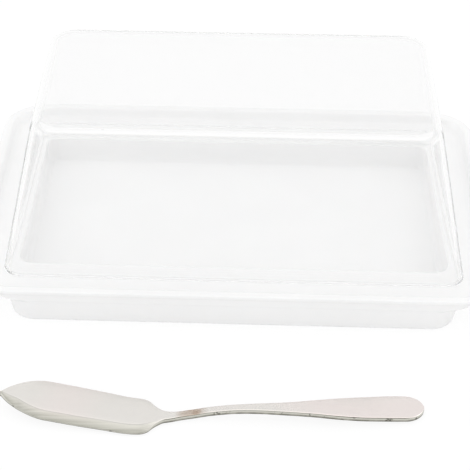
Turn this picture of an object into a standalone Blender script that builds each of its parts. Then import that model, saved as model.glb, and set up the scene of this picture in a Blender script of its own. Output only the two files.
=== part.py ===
# Butter dish with a lift-off lid and a butter knife.
# All sizes are in metres and all angles in degrees. The table is at height zero, the
# long side of the tray runs along X, and the knife lies in front of the tray, towards -Y.

import math

import bmesh
import bpy
from mathutils import Vector


# Lid: one clear moulded box, open below, that narrows towards its top.
LID_LENGTH = 0.1650
LID_WIDTH = 0.1067
LID_HEIGHT = 0.0524
LID_CORNER = 0.0075
LID_TOP_CORNER = 0.0090
LID_END_INSET = 0.0108
LID_SIDE_INSET = 0.0144
LID_WALL = 0.0016
LID_TOP_ROUNDING = 0.0030
LID_INNER_ROUNDING = 0.0021
LID_RIM_ROUNDING = 0.0005

# Clearances between the lid and the tray.
LID_SEAT_GAP = 0.0003
LID_SIDE_GAP = 0.0005

# Tray: one white moulding with a shallow well, a shelf for the lid and a raised lip.
SHELF_HEIGHT = 0.0115
LAND_RISE = 0.0008
LAND_SIDE = 0.0024
LAND_FRONT = 0.0072
LAND_ROUNDING = 0.0004
WELL_CORNER = 0.0060
WELL_INSET = 0.0017
WELL_EDGE_ROUNDING = 0.0007
WELL_FILLET = 0.0034
FLOOR_THICKNESS = 0.0022
RECESS_SIDE = 0.0075
RECESS_FRONT = 0.0064
LIP_SLOPE = 0.0022
LIP_RISE = 0.0029
LIP_WIDTH = 0.0032
LIP_EDGE = 0.0016
LIP_ROUNDING = 0.0007
LIP_FOOT_ROUNDING = 0.0012
TRAY_CORNER = 0.0171
TRAY_WALL = 0.0022

# Tray body below the lip. The lip reaches far past the body at the two ends, as grips,
# and hardly past it along the two long sides.
GRIP_OVERHANG = 0.0147
SIDE_OVERHANG = 0.0010
BODY_DRAFT = 0.0015
BODY_CORNER = 0.0105
BODY_FOOT_ROUNDING = 0.0006
GRIP_ROOT_ROUNDING = 0.0010
GRIP_LENGTH_SHARES = (0.60, 0.78)
GRIP_WIDTH_SHARES = (0.20, 0.35)
GRIP_HEIGHT_SHARES = (0.16, 1.00)

# Hollows moulded into the underside, one below each long shelf.
HOLLOW_WALL = 0.0022
HOLLOW_CORNER = 0.0030
HOLLOW_DRAFT = 0.0008
HOLLOW_END_MARGIN = 0.0060
CUT_OVERSHOOT = 0.0020

# Butter knife: one stamped and polished piece, tip towards -X.
KNIFE_LENGTH = 0.1402
KNIFE_BLADE_WIDTH = 0.0179
KNIFE_THICKNESS = 0.0018
KNIFE_EDGE_THICKNESS = 0.0007
KNIFE_BEVEL_WIDTH = 0.0030
KNIFE_SIDE_ROUNDING = 0.0004
KNIFE_TIP_REACH = 0.0155
KNIFE_END_REACH = 0.0064
KNIFE_END_WIDTH = 0.0012
KNIFE_ARCH = 0.0036
KNIFE_SWEEP = 0.0100
KNIFE_TIP_X = -0.0758
KNIFE_FRONT_GAP = 0.0441

# The blade ends and blends into the neck here, as shares of the knife's length.
KNIFE_BLADE_END_SHARE = 0.385
KNIFE_BLADE_FADE_SHARE = 0.050

# How full the tip is in plan, how hollow the bevel is and how much of the width stays flat.
KNIFE_TIP_POWER = 1.7
KNIFE_TIP_FULLNESS = 0.8
KNIFE_BEVEL_POWER = 1.3
KNIFE_FLAT_LEAST_SHARE = 0.5

# Shape of the knife along its length, from the tip to the end of the handle.
# Half width is a share of half the blade width, height a share of the arch and
# sideways place a share of the sweep.
KNIFE_WIDTH_SHARES = (
    (0.000, 1.00), (0.110, 1.00), (0.170, 0.995), (0.230, 0.970), (0.295, 0.935),
    (0.335, 0.895), (0.352, 0.790), (0.370, 0.490), (0.392, 0.255), (0.430, 0.180),
    (0.500, 0.178), (0.560, 0.185), (0.620, 0.225), (0.685, 0.300), (0.745, 0.405),
    (0.805, 0.525), (0.870, 0.600), (0.935, 0.630), (1.000, 0.615),
)
KNIFE_HEIGHT_SHARES = (
    (0.000, 1.02), (0.110, 0.62), (0.220, 0.30), (0.330, 0.07), (0.400, 0.00),
    (0.450, 0.11), (0.500, 0.38), (0.560, 0.66), (0.630, 0.77), (0.720, 0.74),
    (0.860, 0.43), (0.950, 0.16), (1.000, 0.03),
)
KNIFE_PLACE_SHARES = (
    (0.000, 0.120), (0.050, 0.090), (0.110, 0.000), (0.230, -0.240), (0.330, -0.430),
    (0.400, -0.400), (0.450, -0.290), (0.500, -0.215), (0.560, -0.190), (0.650, -0.165),
    (0.750, -0.080), (0.850, 0.060), (0.930, 0.220), (1.000, 0.330),
)

# Mesh fineness. A rounding takes up no more than its share of the step next to it.
CORNER_STEPS = 12
FILLET_STEPS = 5
KNIFE_STEPS = 96
KNIFE_END_CROWDING_SHARE = 0.45
ROUND_STEPS = 3
ROUNDING_STEP_SHARE = 0.48
ROUNDING_EDGE_SHARE = 0.33
CAP_INSET_SHARE = 1.5
SMOOTH_ANGLE = 32.0


def clear_scene():
    for item in list(bpy.data.objects):
        bpy.data.objects.remove(item, do_unlink=True)


def make_material(name, colour, roughness, metallic, transmission, ior):
    material = bpy.data.materials.new(name)
    material.use_nodes = True
    shader = material.node_tree.nodes["Principled BSDF"]
    shader.inputs["Base Color"].default_value = colour
    shader.inputs["Roughness"].default_value = roughness
    shader.inputs["Metallic"].default_value = metallic
    shader.inputs["Transmission Weight"].default_value = transmission
    shader.inputs["IOR"].default_value = ior
    material.diffuse_color = colour
    return material


def tray_material():
    return make_material("tray_white_plastic", (0.86, 0.86, 0.85, 1.0), 0.22, 0.0, 0.0, 1.50)


def lid_material():
    return make_material("lid_clear_plastic", (0.97, 0.98, 0.97, 1.0), 0.04, 0.0, 1.0, 1.49)


def knife_material():
    return make_material("knife_polished_steel", (0.74, 0.71, 0.68, 1.0), 0.24, 1.0, 0.0, 1.50)


def ring(half_length, half_width, corner, height):
    """One level outline: half sizes, corner radius and height."""
    return (half_length, half_width, corner, height)


def grown(base, out, height):
    """The outline moved out by the same distance on every side."""
    return ring(base[0] + out, base[1] + out, base[2] + out, height)


def between(first, second, length_share, width_share, height):
    """An outline part of the way from the first to the second."""
    return ring(
        first[0] + (second[0] - first[0]) * length_share,
        first[1] + (second[1] - first[1]) * width_share,
        first[2] + (second[2] - first[2]) * length_share,
        height,
    )


def step_length(first, second):
    """The shorter of the distances between two outlines at the end and at the long side."""
    rise = second[3] - first[3]
    at_end = math.hypot(second[0] - first[0], rise)
    at_side = math.hypot(second[1] - first[1], rise)
    return min(at_end, at_side)


def mixed(first, second, share):
    return tuple(a + (b - a) * share for a, b in zip(first, second))


def softened(profile, roundings):
    """Replaces chosen outlines of a profile with a short smooth curve through them."""
    result = []
    for index, here in enumerate(profile):
        rounding = roundings.get(index, 0)
        if rounding == 0:
            result.append(here)
            continue
        before = profile[index - 1]
        after = profile[index + 1]
        back = min(rounding / step_length(here, before), ROUNDING_STEP_SHARE)
        ahead = min(rounding / step_length(here, after), ROUNDING_STEP_SHARE)
        start = mixed(here, before, back)
        end = mixed(here, after, ahead)
        for step in range(FILLET_STEPS + 1):
            share = step / FILLET_STEPS
            result.append(mixed(mixed(start, here, share), mixed(here, end, share), share))
    return result


def outline_points(level):
    half_length, half_width, corner, height = level
    points = []
    for quarter in range(4):
        side_x = 1 if quarter in (0, 3) else -1
        side_y = 1 if quarter in (0, 1) else -1
        for step in range(CORNER_STEPS + 1):
            angle = math.radians(90 * (quarter + step / CORNER_STEPS))
            x = side_x * (half_length - corner) + corner * math.cos(angle)
            y = side_y * (half_width - corner) + corner * math.sin(angle)
            points.append(Vector((x, y, height)))
    return points


def lofted_mesh(name, levels):
    """A closed body through rows of points, capped at the first and the last row."""
    mesh = bpy.data.meshes.new(name)
    builder = bmesh.new()
    rows = [[builder.verts.new(point) for point in level] for level in levels]
    count = len(rows[0])
    for lower, upper in zip(rows, rows[1:]):
        for index in range(count):
            after = (index + 1) % count
            builder.faces.new((lower[index], lower[after], upper[after], upper[index]))
    builder.faces.new(list(reversed(rows[0])))
    builder.faces.new(rows[-1])
    bmesh.ops.recalc_face_normals(builder, faces=builder.faces)
    for face in builder.faces:
        face.smooth = True
    builder.to_mesh(mesh)
    builder.free()
    mesh.set_sharp_from_angle(angle=math.radians(SMOOTH_ANGLE))
    return mesh


def add_object(name, mesh, material):
    item = bpy.data.objects.new(name, mesh)
    bpy.context.scene.collection.objects.link(item)
    if material is not None:
        mesh.materials.append(material)
    return item


def lid_foot():
    return ring(LID_LENGTH / 2, LID_WIDTH / 2, LID_CORNER, SHELF_HEIGHT + LID_SEAT_GAP)


def land_outline(height):
    return grown(lid_foot(), -(LID_WALL + LID_SIDE_GAP), height)


def well_outline(height):
    land = land_outline(height)
    return ring(land[0] - LAND_SIDE, land[1] - LAND_FRONT, WELL_CORNER, height)


def lip_outline(inset, height):
    """Outline of the raised lip, moved in from its outer edge."""
    length = LID_LENGTH / 2 + RECESS_SIDE + LIP_SLOPE + LIP_WIDTH
    width = LID_WIDTH / 2 + RECESS_FRONT + LIP_SLOPE + LIP_WIDTH
    return ring(length - inset, width - inset, TRAY_CORNER - inset, height)


def body_outline(inset, height):
    edge = lip_outline(0, height)
    return ring(
        edge[0] - GRIP_OVERHANG - inset,
        edge[1] - SIDE_OVERHANG - inset,
        BODY_CORNER - inset,
        height,
    )


def tray_profile():
    lip_top = SHELF_HEIGHT + LIP_RISE
    lip_under = lip_top - LIP_EDGE
    root = SHELF_HEIGHT - TRAY_WALL
    land_top = SHELF_HEIGHT + LAND_RISE
    body_top = body_outline(0, root)
    lip_edge = lip_outline(0, lip_under)
    grips = [
        between(body_top, lip_edge, length_share, width_share, root + (lip_under - root) * height_share)
        for length_share, width_share, height_share in zip(
            GRIP_LENGTH_SHARES, GRIP_WIDTH_SHARES, GRIP_HEIGHT_SHARES
        )
    ]
    levels = [
        (body_outline(BODY_DRAFT + BODY_FOOT_ROUNDING, 0), 0),
        (body_outline(BODY_DRAFT, BODY_FOOT_ROUNDING), 0),
        (body_top, GRIP_ROOT_ROUNDING),
        (grips[0], GRIP_ROOT_ROUNDING),
        (grips[1], LIP_ROUNDING),
        (lip_edge, LIP_ROUNDING),
        (lip_outline(0, lip_top), LIP_ROUNDING),
        (lip_outline(LIP_WIDTH, lip_top), LIP_ROUNDING),
        (lip_outline(LIP_WIDTH + LIP_SLOPE, SHELF_HEIGHT), LIP_FOOT_ROUNDING),
        (land_outline(SHELF_HEIGHT), 0),
        (land_outline(land_top), LAND_ROUNDING),
        (well_outline(land_top), WELL_EDGE_ROUNDING),
        (grown(well_outline(0), -WELL_INSET, FLOOR_THICKNESS), WELL_FILLET),
        (grown(well_outline(0), -WELL_INSET - WELL_FILLET, FLOOR_THICKNESS), 0),
    ]
    profile = [level for level, rounding in levels]
    roundings = {index: rounding for index, (level, rounding) in enumerate(levels)}
    return softened(profile, roundings)


def hollow_cutter(name, side):
    """Tapered block that hollows the underside below one long shelf."""
    outer = body_outline(BODY_DRAFT + HOLLOW_WALL, 0)
    inner = grown(well_outline(0), HOLLOW_WALL - WELL_INSET, 0)
    middle = (outer[1] + inner[1]) / 2
    half_width = (outer[1] - inner[1]) / 2
    half_length = inner[0] - HOLLOW_END_MARGIN
    roof = SHELF_HEIGHT - TRAY_WALL
    slope = HOLLOW_DRAFT / roof
    low = ring(half_length, half_width, HOLLOW_CORNER, -CUT_OVERSHOOT)
    top = grown(low, -slope * (roof + CUT_OVERSHOOT), roof)
    mesh = lofted_mesh(name, [outline_points(low), outline_points(top)])
    cutter = add_object(name, mesh, None)
    cutter.location = (0, side * middle, 0)
    cutter.hide_render = True
    cutter.display_type = "WIRE"
    return cutter


def build_tray():
    mesh = lofted_mesh("tray", [outline_points(level) for level in tray_profile()])
    tray = add_object("tray", mesh, tray_material())
    for name, side in (("tray_hollow_front", -1), ("tray_hollow_rear", 1)):
        cutter = hollow_cutter(name, side)
        cut = tray.modifiers.new(name, "BOOLEAN")
        cut.operation = "DIFFERENCE"
        cut.solver = "EXACT"
        cut.object = cutter
    return tray


def lid_profile():
    foot = lid_foot()
    top_height = foot[3] + LID_HEIGHT
    top = ring(foot[0] - LID_END_INSET, foot[1] - LID_SIDE_INSET, LID_TOP_CORNER, top_height)
    end_lean = LID_END_INSET / LID_HEIGHT
    side_lean = LID_SIDE_INSET / LID_HEIGHT
    inner_foot = grown(foot, -LID_WALL, foot[3])
    inner_top = ring(
        top[0] - LID_WALL * (1 - end_lean),
        top[1] - LID_WALL * (1 - side_lean),
        LID_TOP_CORNER - LID_WALL,
        top_height - LID_WALL,
    )
    levels = [
        (grown(inner_top, -LID_INNER_ROUNDING * CAP_INSET_SHARE, inner_top[3]), 0),
        (inner_top, LID_INNER_ROUNDING),
        (inner_foot, LID_RIM_ROUNDING),
        (foot, LID_RIM_ROUNDING),
        (top, LID_TOP_ROUNDING),
        (grown(top, -LID_TOP_ROUNDING * CAP_INSET_SHARE, top_height), 0),
    ]
    profile = [level for level, rounding in levels]
    roundings = {index: rounding for index, (level, rounding) in enumerate(levels)}
    return softened(profile, roundings)


def build_lid():
    mesh = lofted_mesh("lid", [outline_points(level) for level in lid_profile()])
    return add_object("lid", mesh, lid_material())


def curve_value(keys, place):
    """Smooth value through keys, with no overshoot between them."""
    last = len(keys) - 1
    index = 0
    while index < last - 1 and place > keys[index + 1][0]:
        index += 1

    def slope_at(number):
        if number == 0 or number == last:
            near = 0 if number == 0 else last - 1
            return (keys[near + 1][1] - keys[near][1]) / (keys[near + 1][0] - keys[near][0])
        before = (keys[number][1] - keys[number - 1][1]) / (keys[number][0] - keys[number - 1][0])
        after = (keys[number + 1][1] - keys[number][1]) / (keys[number + 1][0] - keys[number][0])
        if before * after <= 0:
            return 0.0
        return 2 * before * after / (before + after)

    start, end = keys[index], keys[index + 1]
    span = end[0] - start[0]
    t = (place - start[0]) / span
    start_slope = slope_at(index) * span
    end_slope = slope_at(index + 1) * span
    return (
        start[1] * (2 * t**3 - 3 * t**2 + 1)
        + start_slope * (t**3 - 2 * t**2 + t)
        + end[1] * (3 * t**2 - 2 * t**3)
        + end_slope * (t**3 - t**2)
    )


def knife_half_width(place):
    width = KNIFE_BLADE_WIDTH / 2 * curve_value(KNIFE_WIDTH_SHARES, place)
    from_tip = place * KNIFE_LENGTH / KNIFE_TIP_REACH
    from_end = (1 - place) * KNIFE_LENGTH / KNIFE_END_REACH
    if from_tip < 1:
        width *= (1 - (1 - from_tip) ** KNIFE_TIP_POWER) ** KNIFE_TIP_FULLNESS
    if from_end < 1:
        width *= math.sqrt(max(1 - (1 - from_end) ** 2, 0.0))
    return max(width, KNIFE_END_WIDTH / 2)


def rounded_corner(centre_y, centre_z, radius, start_angle):
    points = []
    for step in range(ROUND_STEPS + 1):
        angle = math.radians(start_angle + 90 * step / ROUND_STEPS)
        points.append((centre_y + radius * math.cos(angle), centre_z + radius * math.sin(angle)))
    return points


def knife_section(place):
    """Cross section of the knife: the cutting edge is on the side towards -Y."""
    half = knife_half_width(place)
    rise = KNIFE_THICKNESS
    rounding = min(KNIFE_SIDE_ROUNDING, half * ROUNDING_EDGE_SHARE)
    blade_left = (KNIFE_BLADE_END_SHARE - place) / KNIFE_BLADE_FADE_SHARE
    blade_left = min(max(blade_left, 0), 1)
    blade_share = blade_left * blade_left * (3 - 2 * blade_left)
    bevel = min(KNIFE_BEVEL_WIDTH * blade_share, half)
    edge_top = rise - (rise - KNIFE_EDGE_THICKNESS) * blade_share * bevel / KNIFE_BEVEL_WIDTH
    small = min(rounding, edge_top * ROUNDING_EDGE_SHARE)
    points = rounded_corner(half - rounding, rise - rounding, rounding, 0)
    reach = 2 * half - rounding - small
    start = half - rounding
    for step in range(1, ROUND_STEPS + 1):
        share = step / ROUND_STEPS * max(1 - bevel / reach, KNIFE_FLAT_LEAST_SHARE)
        points.append((start - reach * share, rise))
    drop_start = points[-1][0]
    for step in range(1, ROUND_STEPS):
        share = step / ROUND_STEPS
        y = drop_start + (-half + small - drop_start) * share
        points.append((y, rise - (rise - edge_top) * share**KNIFE_BEVEL_POWER))
    points += rounded_corner(-half + small, edge_top - small, small, 90)
    points += rounded_corner(-half + small, small, small, 180)
    points += rounded_corner(half - rounding, rounding, rounding, 270)
    return points


def knife_rows():
    rows = []
    low = min(height for place, height in KNIFE_HEIGHT_SHARES)
    for step in range(KNIFE_STEPS + 1):
        even = step / KNIFE_STEPS
        eased = (1 - math.cos(math.pi * even)) / 2
        place = even + KNIFE_END_CROWDING_SHARE * (eased - even)
        x = place * KNIFE_LENGTH
        y = KNIFE_SWEEP * curve_value(KNIFE_PLACE_SHARES, place)
        z = KNIFE_ARCH * (curve_value(KNIFE_HEIGHT_SHARES, place) - low)
        rows.append([Vector((x, y + side, z + rise)) for side, rise in knife_section(place)])
    return rows


def build_knife():
    mesh = lofted_mesh("butter_knife", knife_rows())
    knife = add_object("butter_knife", mesh, knife_material())
    front = lip_outline(0, 0)[1]
    knife.location = (KNIFE_TIP_X, -(front + KNIFE_FRONT_GAP), 0)
    return knife


clear_scene()
build_tray()
build_lid()
build_knife()
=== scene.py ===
# A butter dish with a clear lift-off lid, and the butter knife that lies in front of it.
# Metres, Z up, the table at height zero. Each section makes one real piece and its finish.
import math

import bmesh
import bpy
import numpy as np
from mathutils import Matrix, Vector


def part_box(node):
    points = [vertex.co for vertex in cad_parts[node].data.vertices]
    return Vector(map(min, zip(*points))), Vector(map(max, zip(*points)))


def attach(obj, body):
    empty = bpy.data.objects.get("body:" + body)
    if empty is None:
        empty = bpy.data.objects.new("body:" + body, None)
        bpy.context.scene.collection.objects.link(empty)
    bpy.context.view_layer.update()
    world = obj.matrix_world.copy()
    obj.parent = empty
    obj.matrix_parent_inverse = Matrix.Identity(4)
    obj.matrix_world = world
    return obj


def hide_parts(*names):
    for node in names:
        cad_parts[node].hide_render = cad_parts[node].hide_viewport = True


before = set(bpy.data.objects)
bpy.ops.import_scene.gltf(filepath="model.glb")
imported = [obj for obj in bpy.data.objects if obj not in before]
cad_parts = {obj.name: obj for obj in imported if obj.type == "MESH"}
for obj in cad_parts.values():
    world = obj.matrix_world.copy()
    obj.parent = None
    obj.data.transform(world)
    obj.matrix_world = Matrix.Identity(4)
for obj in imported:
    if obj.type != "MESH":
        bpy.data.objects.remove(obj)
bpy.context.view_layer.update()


# Tray. One moulding of white polystyrene: a shallow well, a shelf round it for the lid and a
# raised lip that reaches out as a grip at each end. Its outlines are rounded rectangles all
# the way down, so one node tree sweeps the wall's profile round them.
tray_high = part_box("tray")[1]
lid_low, lid_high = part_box("lid")

LIP_CORNER = 0.0171
LIP_WIDTH = 0.0032
LIP_SLOPE = 0.0022
LIP_RISE = 0.0029
LIP_EDGE = 0.0016
LIP_ROUNDING = 0.0007
LIP_FOOT_ROUNDING = 0.0012
PARTING_LINE_RISE = 0.00005
PARTING_LINE_WIDTH = 0.00018
SHELF_HEIGHT = tray_high.z - LIP_RISE
LAND_RISE = 0.0008
LAND_ROUNDING = 0.0004
LAND_GAP = 0.0005
LAND_SIDE = 0.0024
LAND_FRONT = 0.0072
WELL_CORNER = 0.0060
WELL_INSET = 0.0017
WELL_EDGE_ROUNDING = 0.0007
WELL_FILLET = 0.0034
FLOOR_THICKNESS = 0.0022
TRAY_WALL = 0.0022
GRIP_OVERHANG = 0.0147
SIDE_OVERHANG = 0.0010
BODY_DRAFT = 0.0015
BODY_CORNER = 0.0105
BODY_FOOT_ROUNDING = 0.0006
GRIP_ROOT_ROUNDING = 0.0010
GRIP_SHARES = ((0.60, 0.20, 0.16), (0.78, 0.35, 1.00))
HOLLOW_CORNER = 0.0030
HOLLOW_DRAFT = 0.0008
HOLLOW_END_MARGIN = 0.0060
HOLLOW_MOUTH_BEVEL = 0.0003
LID_WALL = 0.0016
LID_CORNER = 0.0075

FILLET_STEPS = 9
FILLET_MOST_SHARE = 0.48
SUPPORT_LOOP = 0.00025
SUPPORT_MOST_SHARE = 0.01
CORNER_STEPS = 20
SIDE_STEPS = 3
WELD_DISTANCE = 0.000002
TRAY_SHARP_DEGREES = 40

# White plastic: a faint cloudiness, a fine grain left by the mould, slow waves where the
# moulding sank a little, and thin scratches from washing. Depths and scales are real ones.
TRAY_TINTS = ((0.35, (0.925, 0.925, 0.925, 1)), (0.65, (0.940, 0.940, 0.939, 1)))
TRAY_CLOUD_SCALE = 45.0
TRAY_GRAIN_SCALE = 2600.0
TRAY_GRAIN_DEPTH = 0.000006
TRAY_WAVE_SCALE = 38.0
TRAY_WAVE_DEPTH = 0.00010
TRAY_SCRATCH_TURN = 24
TRAY_SCRATCH_SCALE = 6000.0
TRAY_SCRATCH_REACH = 0.012
TRAY_SCRATCH_THRESHOLD = 0.76
TRAY_SCRATCH_DEPTH = 0.000008
TRAY_HANDLING_SCALE = 160.0
TRAY_HANDLING_RANGE = (0.3, 0.7)
TRAY_ROUGHNESS = (0.20, 0.26)
TRAY_IOR = 1.49
TRAY_GLOW_WEIGHT = 0.12
TRAY_GLOW_RADIUS = (1.0, 0.95, 0.9)
TRAY_GLOW_REACH = 0.0015
NOISE_ROUGHNESS = 0.55
SCRATCH_DETAIL = 1.0
SCRATCH_ROUGHNESS = 0.4
SCRATCH_DISTORTION = 0.3
SCRATCH_SOFTNESS = 0.02


def ring(half_length, half_width, corner, height):
    """One level outline of a piece: a rounded rectangle at a height."""
    return np.array((half_length, half_width, corner, height))


def grown(outline, out, height):
    return ring(outline[0] + out, outline[1] + out, outline[2] + out, height)


def spine(outline):
    """The line that an outline shrinks to, where a flat top or bottom closes."""
    return ring(outline[0] - outline[1], 0, 0, outline[3])


def step_length(first, second):
    rise = second[3] - first[3]
    at_end = math.hypot(second[0] - first[0], rise)
    at_side = math.hypot(second[1] - first[1], rise)
    return min(at_end, at_side)


def arc_weight(before, here, after):
    """How strongly an edge pulls its rounding, so that the rounding is a true arc."""
    ways = []
    for other in (before, after):
        way = Vector((other[1] - here[1], other[3] - here[3]))
        ways.append(way.normalized())
    return math.sin(ways[0].angle(ways[1]) / 2)


def rounded_profile(levels):
    """A profile with its edges rounded. Each level is an outline and the size of its rounding."""
    outlines = [outline for outline, rounding in levels]
    profile = []
    for index, (here, rounding) in enumerate(levels):
        if rounding == 0:
            profile.append(here)
            continue
        before = outlines[index - 1]
        after = outlines[index + 1]
        back = min(rounding / step_length(here, before), FILLET_MOST_SHARE)
        ahead = min(rounding / step_length(here, after), FILLET_MOST_SHARE)
        start = here + (before - here) * back
        end = here + (after - here) * ahead
        hold_back = min(SUPPORT_LOOP / step_length(here, before), SUPPORT_MOST_SHARE)
        hold_ahead = min(SUPPORT_LOOP / step_length(here, after), SUPPORT_MOST_SHARE)
        profile.append(start + (before - here) * hold_back)
        pull = arc_weight(before, here, after)
        for step in range(FILLET_STEPS + 1):
            share = step / FILLET_STEPS
            weights = ((1 - share) ** 2, 2 * pull * share * (1 - share), share**2)
            point = start * weights[0] + here * weights[1] + end * weights[2]
            profile.append(point / sum(weights))
        profile.append(end + (after - here) * hold_ahead)
    return profile


def profile_object(name, profile):
    """The profile as a line of points. Each point carries its outline's half sizes and corner."""
    mesh = bpy.data.meshes.new(name)
    edges = [(index, index + 1) for index in range(len(profile) - 1)]
    mesh.from_pydata([(0, 0, outline[3]) for outline in profile], edges, [])
    sizes = mesh.attributes.new("outline", "FLOAT_VECTOR", "POINT")
    sizes.data.foreach_set("vector", np.array([outline[:3] for outline in profile]).ravel())
    item = bpy.data.objects.new(name, mesh)
    bpy.context.scene.collection.objects.link(item)
    return item


def sweep_tree():
    """Sweeps a profile round rounded rectangles: a grid of profile points by places round them,
    where each quarter of the way round is one corner's arc and then one straight side."""
    tree = bpy.data.node_groups.new("profile_round_a_rectangle", "GeometryNodeTree")
    tree.is_modifier = True
    face = tree.interface
    face.new_socket("Profile", in_out="INPUT", socket_type="NodeSocketGeometry")
    face.new_socket("Corner Steps", in_out="INPUT", socket_type="NodeSocketInt")
    face.new_socket("Side Steps", in_out="INPUT", socket_type="NodeSocketInt")
    face.new_socket("Weld Distance", in_out="INPUT", socket_type="NodeSocketFloat")
    face.new_socket("Material", in_out="INPUT", socket_type="NodeSocketMaterial")
    face.new_socket("Piece", in_out="OUTPUT", socket_type="NodeSocketGeometry")
    nodes, links = tree.nodes, tree.links
    given = nodes.new("NodeGroupInput").outputs

    def node(kind, *sources, **settings):
        made = nodes.new(kind)
        for key, value in settings.items():
            setattr(made, key, value)
        for socket, source in zip((s for s in made.inputs if s.enabled), sources):
            if isinstance(source, bpy.types.NodeSocket):
                links.new(source, socket)
            elif source is not None:
                socket.default_value = source
        return next(socket for socket in made.outputs if socket.enabled)

    def whole(operation, *sources):
        return node("FunctionNodeIntegerMath", *sources, operation=operation)

    def number(operation, *sources):
        return node("ShaderNodeMath", *sources, operation=operation)

    def side_of(quarter, shift, operation):
        middle = number("MULTIPLY", number("ADD", quarter, shift), math.pi / 2)
        return number("SIGN", number(operation, middle))

    points = node("GeometryNodeAttributeDomainSize", given["Profile"], component="MESH")
    quarter_steps = whole("ADD", given["Corner Steps"], given["Side Steps"])
    round_steps = whole("MULTIPLY", quarter_steps, 4)
    row = whole("ADD", round_steps, 1)
    grid = nodes.new("GeometryNodeMeshGrid")
    links.new(points, grid.inputs["Vertices X"])
    links.new(row, grid.inputs["Vertices Y"])

    index = node("GeometryNodeInputIndex")
    level = whole("DIVIDE_FLOOR", index, row)
    place = whole("MODULO", whole("MODULO", index, row), round_steps)
    quarter = whole("DIVIDE_FLOOR", place, quarter_steps)
    step = whole("MODULO", place, quarter_steps)
    turn = number("DIVIDE", number("MINIMUM", step, given["Corner Steps"]), given["Corner Steps"])
    past = number("MAXIMUM", number("SUBTRACT", step, given["Corner Steps"]), 0.0)
    slide = number("DIVIDE", past, given["Side Steps"])
    angle = number("MULTIPLY", number("ADD", quarter, turn), math.pi / 2)

    def sampled(field):
        sample = nodes.new("GeometryNodeSampleIndex")
        sample.data_type = "FLOAT_VECTOR"
        links.new(given["Profile"], sample.inputs["Geometry"])
        links.new(field, next(s for s in sample.inputs if s.name == "Value" and s.enabled))
        links.new(level, sample.inputs["Index"])
        split = nodes.new("ShaderNodeSeparateXYZ")
        links.new(next(s for s in sample.outputs if s.enabled), split.inputs[0])
        return split.outputs

    outline = nodes.new("GeometryNodeInputNamedAttribute")
    outline.data_type = "FLOAT_VECTOR"
    outline.inputs["Name"].default_value = "outline"
    half_length, half_width, corner = sampled(outline.outputs["Attribute"])
    height = sampled(node("GeometryNodeInputPosition"))[2]

    def coordinate(half_size, operation):
        here = side_of(quarter, 0.5, operation)
        there = side_of(quarter, 1.5, operation)
        side = number("ADD", here, number("MULTIPLY", number("SUBTRACT", there, here), slide))
        centre = number("MULTIPLY", side, number("SUBTRACT", half_size, corner))
        return number("ADD", centre, number("MULTIPLY", corner, number(operation, angle)))

    spot = nodes.new("ShaderNodeCombineXYZ")
    links.new(coordinate(half_length, "COSINE"), spot.inputs[0])
    links.new(coordinate(half_width, "SINE"), spot.inputs[1])
    links.new(height, spot.inputs[2])

    placed = nodes.new("GeometryNodeSetPosition")
    links.new(grid.outputs["Mesh"], placed.inputs["Geometry"])
    links.new(spot.outputs[0], placed.inputs["Position"])
    welded = nodes.new("GeometryNodeMergeByDistance")
    links.new(placed.outputs[0], welded.inputs["Geometry"])
    links.new(given["Weld Distance"], welded.inputs["Distance"])
    real = node("GeometryNodeRealizeInstances", welded.outputs[0])
    finished = nodes.new("GeometryNodeSetMaterial")
    links.new(real, finished.inputs["Geometry"])
    links.new(given["Material"], finished.inputs["Material"])
    links.new(finished.outputs[0], nodes.new("NodeGroupOutput").inputs[0])
    return tree


sweep = sweep_tree()


def as_plain_mesh(item, name):
    """The object's evaluated shape as a mesh of its own, with no modifier left."""
    graph = bpy.context.evaluated_depsgraph_get()
    mesh = bpy.data.meshes.new_from_object(item.evaluated_get(graph))
    mesh.name = name
    plain = bpy.data.objects.new(name, mesh)
    bpy.context.scene.collection.objects.link(plain)
    return plain


def swept(name, profile, material):
    """A closed piece from its profile, with its faces pointing out."""
    line = profile_object(name + "_profile", profile)
    modifier = line.modifiers.new("sweep", "NODES")
    modifier.node_group = sweep
    values = {
        "Corner Steps": CORNER_STEPS,
        "Side Steps": SIDE_STEPS,
        "Weld Distance": WELD_DISTANCE,
        "Material": material,
    }
    for socket in sweep.interface.items_tree:
        if socket.name in values:
            modifier[socket.identifier] = values[socket.name]
    piece = as_plain_mesh(line, name)
    bpy.data.objects.remove(line)
    builder = bmesh.new()
    builder.from_mesh(piece.data)
    bmesh.ops.dissolve_degenerate(builder, edges=builder.edges, dist=WELD_DISTANCE / 4)
    bmesh.ops.recalc_face_normals(builder, faces=builder.faces)
    builder.to_mesh(piece.data)
    builder.free()
    return piece


def smoothed(piece, sharp_degrees):
    piece.data.shade_smooth()
    piece.data.set_sharp_from_angle(angle=math.radians(sharp_degrees))


def node_adder(tree):
    """A short way to add nodes to a tree, with their inputs and settings given by name."""
    def add(kind, **settings):
        made = tree.nodes.new(kind)
        for key, value in settings.items():
            if key in made.inputs:
                made.inputs[key].default_value = value
            else:
                setattr(made, key, value)
        return made

    return add


def material_graph(name):
    """A material with its Principled shader, and short ways to add and join nodes."""
    material = bpy.data.materials.new(name)
    material.use_nodes = True
    tree = material.node_tree
    return material, tree.nodes["Principled BSDF"], node_adder(tree), tree.links.new


def noise(add, link, place, scale, detail=3.0, stretch=None):
    """A noise pattern on the piece's own coordinates. The scale is in repeats a metre."""
    texture = add("ShaderNodeTexNoise", Scale=scale, Detail=detail, Roughness=NOISE_ROUGHNESS)
    if stretch is None:
        link(place, texture.inputs["Vector"])
        return texture.outputs["Fac"]
    mapping = add("ShaderNodeMapping", Scale=stretch)
    link(place, mapping.inputs["Vector"])
    link(mapping.outputs[0], texture.inputs["Vector"])
    return texture.outputs["Fac"]


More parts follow.
